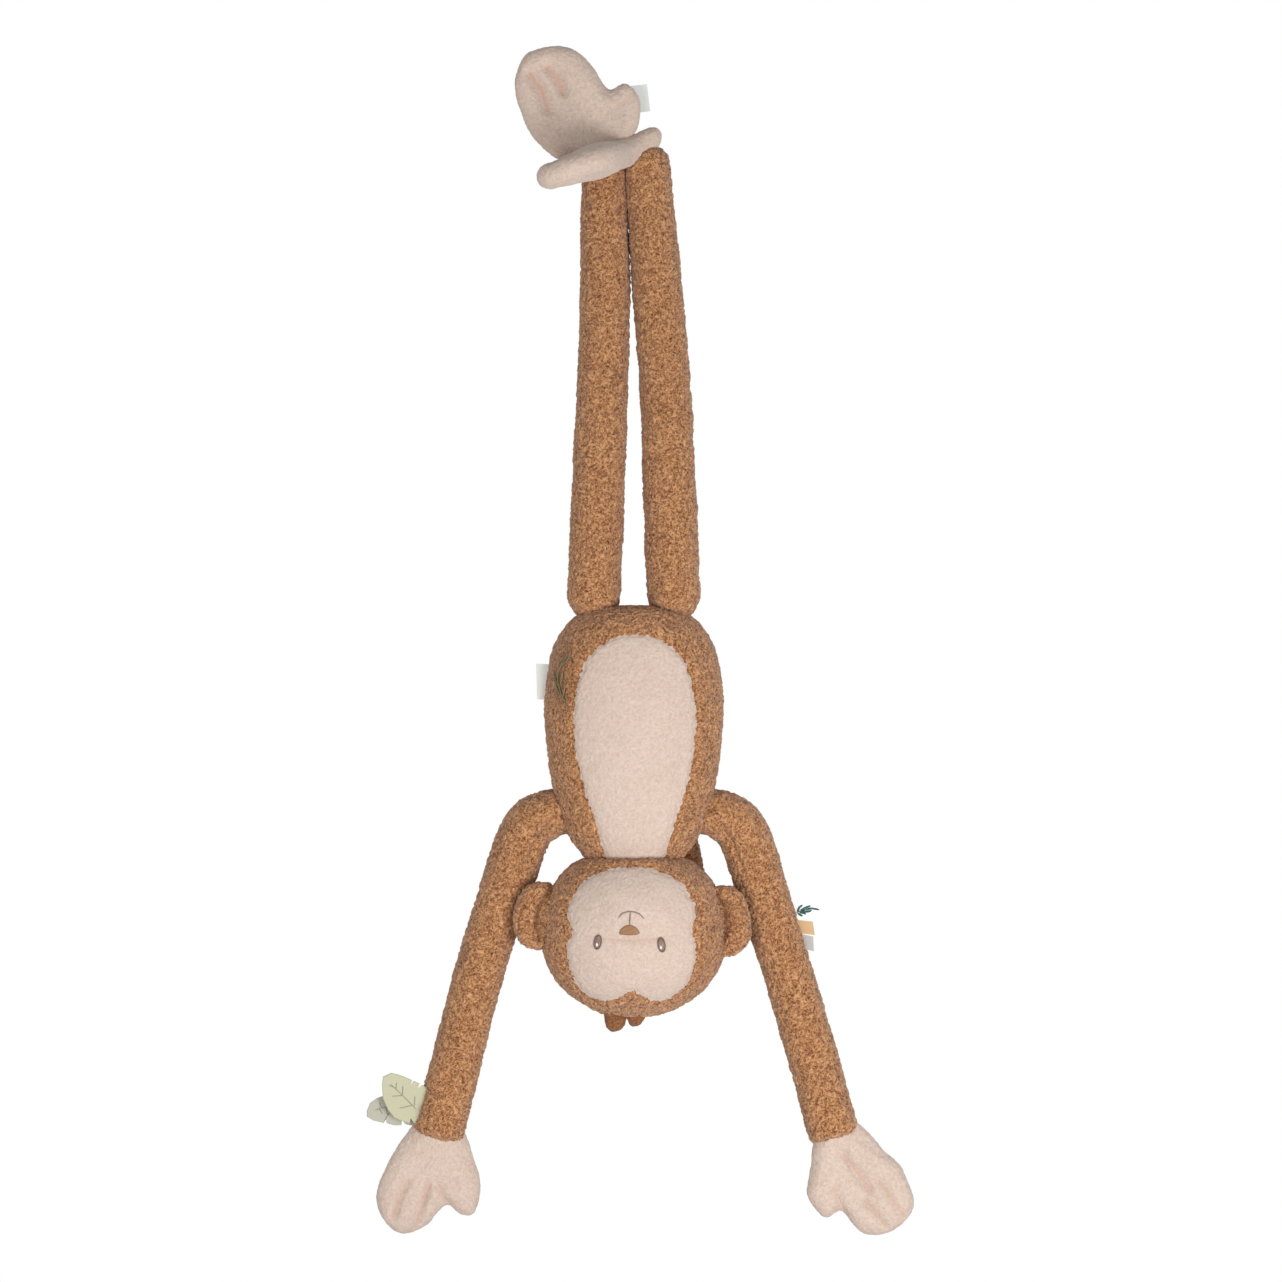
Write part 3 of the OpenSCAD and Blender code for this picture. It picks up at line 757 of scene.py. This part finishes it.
hands = {
    "left": (
        [(-24, -4), (-43, -30), (-55, -61), (-49, -83), (-37, -94), (-24, -93), (-11, -87), (-3, -78),
         (6, -71),
         (17, -78), (29, -77), (34, -54), (27, -30), (20, -10), (10, 6), (-12, 10)],
        (-12, -48),
        [([(-29, -50), (-35, -64), (-41, -80)], 3.2, 0.42),
         ([(-10, -54), (-15, -66), (-21, -88)], 3.2, 0.42),
         ([(-2, -54), (5, -70)], 4, 0.3), ([(-26, -26), (2, -24)], 6, 0.12)],
    ),
    "right": (
        [(-17, -22), (-18, -36), (-21, -50), (-21, -64), (-7, -82), (7, -76), (17, -86), (29, -95),
         (45, -95),
         (62, -85), (70, -67), (60, -39), (45, -23), (27, -4), (10, 8), (-8, 6)],
        (18, -48),
        [([(11, -28), (22, -43), (34, -59)], 3.6, 0.5), ([(28, -65), (46, -88)], 3.2, 0.42),
         ([(40, -50), (61, -79)], 3.2, 0.42), ([(2, -56), (7, -75)], 4, 0.3)],
    ),
}
hand_thick = (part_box("hand_left")[1].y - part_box("hand_left")[0].y) / MM - 4
for name, (outline, middle, creases) in hands.items():
    wrist = joint_at[name + "_wrist_flop"]
    form = padded_form(outline, middle, hand_thick, 12, creases, (0, -8, 5))
    soft_pad("hand_pad_" + name, form, lambda points: points + wrist, cream_pile, cream_cloth,
             ("hand_" + name, "hand_stuffing_" + name), name + "_hand")

# The left foot stands up and shows its sole; the right one is seen from its edge, and its heel
# passes over the end of its own leg.
foot_left_outline = [(-100, 50), (-98, 67), (-89, 82), (-66, 88), (-49, 84), (-34, 71), (-20, 52),
                     (-6, 57), (5, 46),
                     (7, 32), (4, 18), (-8, -2), (-16, -20), (-38, -22), (-48, -8), (-66, -7), (-83, 8),
                     (-94, 29)]
foot_left_creases = [([(-72, 69), (-65, 62), (-60, 50)], 5, 0.6),
                     ([(-87, 64), (-78, 52), (-72, 34)], 5, 0.6),
                     ([(-3, 43), (-14, 36)], 7, 0.2)]
low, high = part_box("foot_left")
foot_thick = (high.y - low.y) / MM - 4
foot_middle = np.array((0, (low.y + high.y) / 2, 0))
form = padded_form(foot_left_outline, (-42, 30), foot_thick, 13, foot_left_creases, (-27, -12, 6))
soft_pad("foot_pad_left", form, lambda points: points + foot_middle, cream_pile, cream_cloth,
         ("foot_left", "foot_stuffing_left"), "left_foot")

FOOT_TILT = math.radians(18)
foot_right_outline = [(-53, -2), (-52, -30), (-38, -42), (-12, -45), (6, -40), (17, -27), (24, -8),
                      (31, 10),
                      (41, 20), (52, 26), (56, 35), (50, 44), (34, 45), (15, 33), (-10, 19), (-35, 14),
                      (-49, 9)]
foot_right_creases = [([(-40, -16), (-20, -18)], 4, 0.4), ([(-36, -30), (-18, -31)], 4, 0.4)]
foot_right_middle = np.array((-30, -30, -10)) * MM


def lie_across(points):
    """Lays a standing pad across the other leg, tilted, with its heel raised over its own."""
    along = np.array((math.cos(FOOT_TILT), 0, math.sin(FOOT_TILT)))
    over = np.array((math.sin(FOOT_TILT), 0, -math.cos(FOOT_TILT)))
    laid = np.outer(points[:, 0], along) + np.outer(points[:, 1], over) + np.outer(points[:, 2],
                                                                                   (0, 1, 0))
    laid[:, 2] += np.clip(points[:, 0] - 20 * MM, 0, None) ** 2 * 6.5
    return laid + foot_right_middle


form = padded_form(foot_right_outline, (13, 14), foot_thick + 1, 11, foot_right_creases, (0, -10, 3.5))
soft_pad("foot_pad_right", form, lie_across, cream_pile, cream_cloth,
         ("foot_right", "foot_stuffing_right"), "right_foot")

# Puffy ears, folded so that the rim rolls forward, and two rolled lobes of plush at the crown.
ears = {
    "left": ([(-64, -622), (-68, -617), (-78, -614), (-90, -618), (-98, -630), (-101, -647), (-97, -662),
              (-87, -670), (-75, -670), (-65, -664), (-60, -644)], (-78, -642),
             [([(-70, -620), (-80, -636), (-82, -650), (-79, -662)], 5, 0.55)]),
    "right": ([(62, -625), (67, -619), (74, -617), (86, -620), (94, -631), (98, -647), (98, -660),
               (92, -670),
               (82, -676), (70, -676), (62, -668), (58, -648)], (78, -648),
              [([(70, -624), (77, -638), (77, -652), (74, -668)], 5, 0.55)]),
}
for name, (outline, middle, creases) in ears.items():
    low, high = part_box("ear_" + name)
    ear_middle = np.array((0, (low.y + high.y) / 2, 0))
    form = padded_form(outline, middle, (high.y - low.y) / MM - 4, 13, creases)
    soft_pad("ear_pad_" + name, form, lambda points: points + ear_middle, teddy_pile, teddy_cloth,
             ("ear_" + name,), name + "_ear")


def short_pile(points, normals, press):
    return teddy_pile(points, normals, np.maximum(press, 0.55))


# Its first colour is painted shade between the locks, its third painted highlight on their ends.
lobe_cloth = plush("tuft_plush", paint(90, 52, 30), paint(138, 90, 58), paint(166, 118, 80),
                   paint(84, 52, 32), 0.8,
                   0.9 * MM, 0.15)
for name, across, half, drop in (("left", -15.5, 8.5, 740), ("right", 1.8, 7.5, 736)):
    outline = [(across - half, -718), (across - half * 1.02, -drop + 8),
               (across - half * 0.5, -drop + 0.5),
               (across + half * 0.4, -drop + 1), (across + half, -drop + 8), (across + half, -718)]
    form = padded_form(outline, (across, -727), 13, 6, [])
    soft_pad("forelock_lobe_" + name, form, lambda points: points - (0, 6 * MM, 0), short_pile,
             lobe_cloth,
             ("forelock_" + name,), "head")

# A sleeve of the same cloth inside the neck seam, which shows only when the head nods.
neck_sleeve_keys = [(0, 0, torso_low + 16 * MM, 33 * MM), (0, 0, torso_low, 32 * MM),
                    (0, 0, torso_low - 18 * MM, 33 * MM)]
points, faces, corners = limb_form(neck_sleeve_keys, (0.3, 0.3))
points, normals, faces, corners = finer(points, faces, corners)
points = points * (1.15, 0.85, 1)
points, level = teddy_pile(points, normals)
sleeve = piece("neck_sleeve", points, faces, corners, teddy_cloth, pile=level)
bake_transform(sleeve)

# ---- eyes, nose, mouth and feather --------------------------------------------------------------
# Embroidery in shiny thread, sewn through the plush: filled patches of close stitches for the
# eyes and the nose, and single threads for the mouth and the feather.


def thread_finish(name, dark, light, stitch, angle):
    """Close parallel stitches of thread, lit along their length."""
    start, shader, material = finish_of(name)
    place = start.node("ShaderNodeTexCoord", {}, {}, out="Object")
    turned = start.node("ShaderNodeVectorRotate", {"rotation_type": "Y_AXIS"},
                        {"Vector": place, "Angle": angle})
    rows = start.node("ShaderNodeTexWave", {}, {"Vector": turned, "Scale": 1 / stitch, "Distortion": 1.5,
                                                "Detail": 1.0, "Detail Scale": 0.6}, out="Fac")
    rows.mix(dark, light).into(shader.inputs["Base Color"])
    bump = start.node("ShaderNodeBump", {}, {"Strength": 0.5, "Distance": 0.2 * MM, "Height": rows},
                      out="Normal")
    bump.into(shader.inputs["Normal"])
    shader.inputs["Roughness"].default_value = 0.42
    return material


def on_front(tree, x, z):
    """The place on a body's front at x and z, and the way out of it there."""
    place, normal = tree.ray_cast(Vector((x, -0.5, z)), Vector((0, 1, 0)))[:2]
    return np.array(place), np.array(normal)


DOME = ((0.04, 1.0), (0.35, 0.97), (0.6, 0.88), (0.8, 0.7), (0.93, 0.4), (1.0, -0.2), (0.97, -0.9))


def stitched_patch(tree, outline, rise):
    """A slightly domed patch of stitches over a body's front. Its edge is sunk in the plush."""
    rim = curve_through(np.concatenate([outline, outline[:3]]), 0.5)
    first = np.argmin(np.linalg.norm(rim[: len(rim) // 3] - outline[1], axis=1))
    last = len(rim) // 2 + np.argmin(np.linalg.norm(rim[len(rim) // 2:] - outline[1], axis=1))
    rim = rim[first:last]
    middle = rim.mean(0)
    rings = []
    for share, lift in DOME:
        ring = []
        for x, z in middle + share * (rim - middle):
            place, normal = on_front(tree, x * MM, z * MM)
            ring.append(place + normal * rise * lift)
        rings.append(ring)
    return lathe(np.array(rings))


def threads(tree, lines, radius, sunk=0.3):
    """Threads laid over a body's front along lines of (x, z) in mm, with thin ends."""
    points = []
    faces = []
    around = 8
    for line in lines:
        path = curve_through(line, 0.7)
        centre = []
        for x, z in path:
            place, normal = on_front(tree, x * MM, z * MM)
            centre.append(place + normal * radius * (1 - 2 * sunk))
        centre = np.array(centre)
        ahead = np.gradient(centre, axis=0)
        ahead /= np.linalg.norm(ahead, axis=1)[:, None]
        side = np.cross(ahead, (0, 1, 0))
        side /= np.linalg.norm(side, axis=1)[:, None]
        front = np.cross(side, ahead)
        share = np.linspace(0, 1, len(path))
        size = radius * (0.35 + 0.65 * np.sqrt(np.clip(1 - (2 * share - 1) ** 4, 0, 1)))
        angles = np.linspace(0, 2 * math.pi, around, endpoint=False)
        rings = centre[:, None] + size[:, None, None] * (np.cos(angles)[None, :, None] * side[:, None]
                                                         + np.sin(angles)[None, :, None] * front[:,
                                                                                                 None])
        new_points, new_faces = lathe(rings)[:2]
        faces += [tuple(index + len(points) for index in face) for face in new_faces]
        points += new_points.tolist()
    return points, faces


def sewn_on(name, form, material, slot, body, *nodes):
    """An object of stitches that rides on a body."""
    points, faces = form[:2]
    made = plain_object(name, points, faces)
    made.data.materials.append(material)
    if nodes:
        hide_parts(*nodes)
    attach(made, body)


eye_finish = thread_finish("eye_thread", paint(108, 86, 76), paint(150, 126, 112), 4 * MM, 0.2)
rim_finish = thread_finish("eye_rim_thread", paint(86, 66, 58), paint(112, 90, 80), 3 * MM, 0.2)
glint_finish = thread_finish("white_thread", paint(236, 234, 230), paint(250, 249, 247), 3 * MM, 0.4)
for (x, z), name in zip(eye_places, ("left", "right")):
    x, z = x / MM, z / MM
    lean = 0.12 if name == "left" else -0.12
    turn = np.linspace(0, 2 * math.pi, 13)[:-1]
    oval = np.stack([2.9 * np.cos(turn) + lean * 6 * np.sin(turn), 5.9 * np.sin(turn)], 1)
    form = stitched_patch(head_tree, oval + (x, z), 0.9 * MM)
    sewn_on("eye_stitches_" + name, form, eye_finish, "eye_thread", "head", "eye_" + name)
    loop = (np.concatenate([oval, oval[:2]]) + (x, z)).tolist()
    sewn_on("eye_rim_" + name, threads(head_tree, [loop], 0.55 * MM, 0.1), rim_finish, "eye_thread",
            "head")
glint = np.stack([0.9 * np.cos(turn), 1.7 * np.sin(turn)], 1)
glint_points = []
glint_faces = []
for x, z in eye_places:
    spots = glint + (x / MM - 0.6, z / MM - 2.2)
    points, faces = stitched_patch(head_tree, spots, 1.5 * MM)[:2]
    glint_faces += [tuple(index + len(glint_points) for index in face) for face in faces]
    glint_points += points.tolist()
sewn_on("glint_stitches", (glint_points, glint_faces), glint_finish, "white_thread", "head",
        "eye_glints")

nose_finish = thread_finish("nose_thread", paint(118, 80, 50), paint(166, 124, 86), 3.4 * MM, 1.45)
nose_outline = np.array([(-12.6, -655), (-11.6, -657), (-7.5, -657.6), (-3.8, -657.8), (0, -657.6),
                         (3.8, -657),
                         (5.2, -655), (3.2, -652), (0, -649.6), (-3.8, -648.6), (-7.5, -649.6),
                         (-10.7, -652)])
form = stitched_patch(head_tree, nose_outline, 1.3 * MM)
sewn_on("nose_stitches", form, nose_finish, "nose_thread", "head", "nose")
mouth_finish = thread_finish("mouth_thread", paint(112, 98, 90), paint(146, 130, 120), 2 * MM, 0.8)
mouth_lines = [[(-3.6, -649), (-3.2, -643), (-2.9, -638.2)],
               [(-12.8, -643.4), (-9.6, -639.5), (-3, -637.8), (4, -639.5), (8.6, -644)]]
sewn_on("mouth_thread_lines", threads(head_tree, mouth_lines, 0.5 * MM, 0.1), mouth_finish,
        "mouth_thread", "head",
        "mouth_stitching")

feather_finish = thread_finish("olive_thread", paint(92, 84, 54), paint(138, 126, 88), 2 * MM, 0.8)
feather_stem = [(-54, -424), (-58.5, -431), (-62.5, -440), (-61.5, -451), (-57, -464)]
feather_lines = [feather_stem, [(-51.5, -420), (-54.5, -428), (-61, -434)], [(-56, -426), (-62, -431)],
                 [(-66, -437), (-64.5, -445), (-60.5, -452)],
                 [(-58.5, -437), (-59.5, -445), (-61, -450)],
                 [(-65, -446), (-62, -455), (-58, -460)], [(-56.5, -448), (-57.5, -455), (-58.5, -459)],
                 [(-60.5, -455), (-57.5, -462), (-54.5, -468)]]
sewn_on("feather_threads", threads(torso_tree, feather_lines, 0.7 * MM, -0.6), feather_finish,
        "olive_thread",
        "torso", "feather_stitching")

# ---- leaves, ribbons, label and tape ------------------------------------------------------------
# Loose trimmings caught in the seams: two leaves of thin felt-like cloth with sewn veins, three
# folded ribbons, a folded label, and the two squares of hook-and-loop tape that hold the feet.


def cloth_finish(name, dark, light, weave):
    """Plain woven cloth with a fine even grain."""
    start, shader, material = finish_of(name)
    place = start.node("ShaderNodeTexCoord", {}, {}, out="Object")
    flecks = start.noise(place, 0.5 / weave, 3.0)
    flecks.mix(dark, light).into(shader.inputs["Base Color"])
    bump = start.node("ShaderNodeBump", {}, {"Strength": 0.35, "Distance": weave * 0.5,
                                             "Height": flecks},
                      out="Normal")
    bump.into(shader.inputs["Normal"])
    shader.inputs["Roughness"].default_value = 0.85
    shader.inputs["Sheen Weight"].default_value = 0.1
    return material


def leaf_form(outline, middle, thick, curl):
    """A thin leaf with this outline, in mm, whose far end curls to the front. Points, faces, corners."""
    rim = []
    for a, b in zip(outline, outline[1:] + outline[:1]):
        run = np.subtract(b, a)
        count = max(int(np.linalg.norm(run) / 0.9), 1)
        rim += [np.add(a, run * k / count) for k in range(count)]
    rim = np.array(rim)
    middle = np.array(middle)
    rings = []
    shares_out = (0.03, 0.2, 0.4, 0.6, 0.8, 0.93, 1.0)
    for side, shares in ((-1, shares_out), (1, shares_out[::-1])):
        for share in shares:
            spots = middle + share * (rim - middle)
            away = curl(spots[:, 0], spots[:, 1]) + side * thick / 2
            rings.append(np.stack([spots[:, 0], away, spots[:, 1]], 1) * MM)
    return lathe(np.array(rings))


class Front:
    """Stands in for a body's front where that is a curled sheet."""

    def __init__(self, curl, thick):
        self.curl = curl
        self.thick = thick

    def ray_cast(self, start, way):
        y = self.curl(np.array([start.x / MM]), np.array([start.z / MM]))[0] - self.thick / 2
        return Vector((start.x, y * MM, start.z)), Vector((0, -1, 0))


def add_leaf(name, outline, middle, curl, finish, vein_finish, veins, slot, body, node):
    """A leaf with its sewn veins. Its root is caught in the seam."""
    thick = 0.8
    points, faces = leaf_form(outline, middle, thick, curl)[:2]
    leaf = plain_object(name, points, faces)
    leaf.data.materials.append(finish)
    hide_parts(node)
    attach(leaf, body)
    sewn_on(name + "_veins", threads(Front(curl, thick), veins, 0.28 * MM, 0.0), vein_finish, slot, body)


def green_curl(x, z):
    return 5.2 - 0.0012 * (x + 182) ** 2 + 0.5 * np.sin(z / 5 + x / 9)


def grey_curl(x, z):
    return 13.2 - 0.0016 * (x + 186) ** 2 + 0.6 * np.sin(z / 6 - x / 8)


green_finish = cloth_finish("green_felt", paint(176, 174, 146), paint(192, 189, 162), 0.5 * MM)
grey_finish = cloth_finish("grey_felt", paint(166, 164, 148), paint(184, 181, 166), 0.5 * MM)
vein_finish = thread_finish("vein_thread", paint(128, 128, 112), paint(156, 156, 140), 2 * MM, 0.8)
green_outline = [(-211.7, -785), (-210.8, -778), (-204, -774.9), (-198.2, -776.2), (-191.5, -778.7),
                 (-186.6, -781),
                 (-187.1, -785), (-185.4, -781.6), (-180, -784), (-181.6, -788), (-178, -785),
                 (-173, -788),
                 (-174, -800), (-179, -811), (-184.4, -817.8), (-187.5, -813), (-188.5, -817.4),
                 (-196, -815),
                 (-201.6, -812.4), (-206.6, -806), (-211, -796.3)]
green_veins = [[(-204.5, -784.6), (-196, -792.5), (-183, -805.6)], [(-194, -785.8), (-194.6, -794)],
               [(-203, -794.6), (-194.9, -794.2)], [(-197, -804.7), (-186.5, -802.4)],
               [(-184, -794.6), (-184.6, -803)], [(-206, -785.2), (-200, -788)],
               [(-199.5, -783.2), (-199.9, -788)]]
add_leaf("leaf_front", green_outline, (-192, -797), green_curl, green_finish, vein_finish, green_veins,
         "green_felt", "green_leaf", "leaf_green")
grey_outline = [(-224.6, -807), (-221.8, -800.5), (-215.9, -796.3), (-209, -794), (-200, -793),
                (-188, -796),
                (-182, -806), (-184.6, -820), (-192, -818.6), (-194.8, -813.6), (-195.6, -819.4),
                (-202, -819.4),
                (-208, -817.6), (-209, -812.6), (-210.6, -817.4), (-219.2, -815.2), (-224.6, -812)]
grey_veins = [[(-217.5, -806.6), (-210, -804.4), (-198, -804)], [(-212.5, -805), (-214, -799.5)],
              [(-208.6, -804.4), (-207, -811)], [(-214, -805.6), (-211.5, -810)]]
add_leaf("leaf_behind", grey_outline, (-203, -805), grey_curl, grey_finish, vein_finish, grey_veins,
         "grey_felt", "grey_leaf", "leaf_grey")


def folded_strip(root, tip, wide, gap, depth, shear=0.0):
    """A strip folded over: a front layer from root to tip, in mm, and a back layer behind it."""
    root = np.array(root, float)
    tip = np.array(tip, float)
    way = (tip - root) / np.linalg.norm(tip - root)
    across = np.array((-way[1], way[0]))
    turn = np.radians(np.linspace(-90, 90, 9))
    steps = [(root + (tip - root) * share, -gap / 2) for share in np.linspace(0, 1, 8, endpoint=False)]
    steps += [(tip + way * gap / 2 * math.cos(t), gap / 2 * math.sin(t)) for t in turn]
    steps += [(tip + (root - tip) * share, gap / 2) for share in np.linspace(0, 1, 8)[1:]]
    points = []
    for place, y in steps:
        for part in np.linspace(-0.5, 0.5, 9):
            spot = place + across * wide * part + way * shear * part
            points.append((spot[0] * MM, (depth + y + 0.25 * math.cos(part * 9)) * MM, spot[1] * MM))
    faces = [(i * 9 + j, i * 9 + j + 1, i * 9 + j + 10, i * 9 + j + 9)
             for i in range(len(steps) - 1) for j in range(8)]
    return points, faces, 2 * np.linalg.norm(tip - root) + gap * math.pi / 2


def add_strip(name, root, tip, wide, gap, depth, finish, body, node, shear=0.0):
    """A folded ribbon or label caught in a seam."""
    points, faces, long = folded_strip(root, tip, wide, gap, depth, shear)
    strip = plain_object(name, points, faces)
    strip.data.materials.append(finish)
    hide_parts(node)
    long * MM
    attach(strip, body)


ribbon_white = cloth_finish("fern_ribbon", paint(243, 243, 242), paint(252, 252, 251), 0.35 * MM)
ribbon_tan = cloth_finish("tan_ribbon", paint(192, 152, 108), paint(208, 174, 132), 0.35 * MM)
ribbon_grey = cloth_finish("grey_ribbon", paint(156, 154, 148), paint(190, 188, 184), 0.45 * MM)
add_strip("fern_ribbon_loop", (134, -639), (156, -639), 11, 1.2, 13, ribbon_white,
          "fern_ribbon",
          "ribbon_fern")
add_strip("tan_ribbon_loop", (136, -652), (150.6, -653.6), 11, 1.4, 13, ribbon_tan,
          "tan_ribbon",
          "ribbon_tan", -3)
add_strip("grey_ribbon_loop", (141, -664.6), (150.4, -666.6), 12, 1.4, 13, ribbon_grey,
          "grey_ribbon",
          "ribbon_grey", -3)
fern_finish = thread_finish("fern_print", paint(14, 78, 78), paint(34, 104, 100), 2 * MM, 0.8)
stem_finish = thread_finish("fern_stem_print", paint(84, 40, 48), paint(120, 70, 76), 2 * MM, 0.8)


def flat_front(x, z):
    return 12.4 + 0 * x


fern_stem = [(136.5, -640.6), (141.1, -638.8), (146.2, -637.8), (151.2, -637.5)]
fern_lines = [[(137.8, -639.7), (139.2, -636.2), (142, -634.2)],
              [(140.3, -638.8), (144.3, -636.3), (148.7, -634.8)],
              [(144.5, -638), (149.5, -637), (156, -638.1)],
              [(141.1, -639.2), (146.2, -639.7), (149.5, -638.6)],
              [(139.4, -640.1), (142.6, -640.9), (144.9, -641.8)],
              [(137.8, -640.9), (140, -642.4), (142, -643.4)]]
front = Front(flat_front, 0.1)
sewn_on("fern_leaflets", threads(front, fern_lines, 0.85 * MM, 0.2), fern_finish, "fern_ribbon",
        "fern_ribbon")
sewn_on("fern_stem", threads(front, [fern_stem], 0.3 * MM, 0.0), stem_finish, "fern_ribbon",
        "fern_ribbon")

label_finish = cloth_finish("white_label", paint(216, 216, 210), paint(232, 232, 227), 0.3 * MM)
add_strip("folded_label", (-68, -446.5), (-81, -446), 30, 1.3, -3.5, label_finish,
          "label",
          "hip_label", -2)

tape_finish = cloth_finish("fastener_tape", paint(212, 216, 212), paint(230, 233, 230), 0.6 * MM)
for name, body, place, half, tilt in (
    ("hook_square", "left_foot", (0, 11.2, 43.5), (12.5, 0.7, 11.5), -0.12),
    ("loop_square", "right_foot", (-42, -30, -4), (12, 11.5, 0.7), -0.32),
):
    corners_at = np.array(list(itertools.product((-1, 1), repeat=3)), float) * half
    turned = corners_at.copy()
    turned[:, 0] = corners_at[:, 0] * math.cos(tilt) + corners_at[:, 2] * math.sin(tilt)
    turned[:, 2] = -corners_at[:, 0] * math.sin(tilt) + corners_at[:, 2] * math.cos(tilt)
    square = plain_object(name, (turned + place) * MM,
                          [(0, 1, 3, 2), (4, 6, 7, 5), (0, 4, 5, 1), (2, 3, 7, 6),
                                                         (0, 2, 6, 4), (1, 5, 7, 3)])
    square.data.shade_flat()
    square.data.materials.append(tape_finish)
    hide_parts("hook_patch" if body == "left_foot" else "loop_patch")
    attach(square, body)
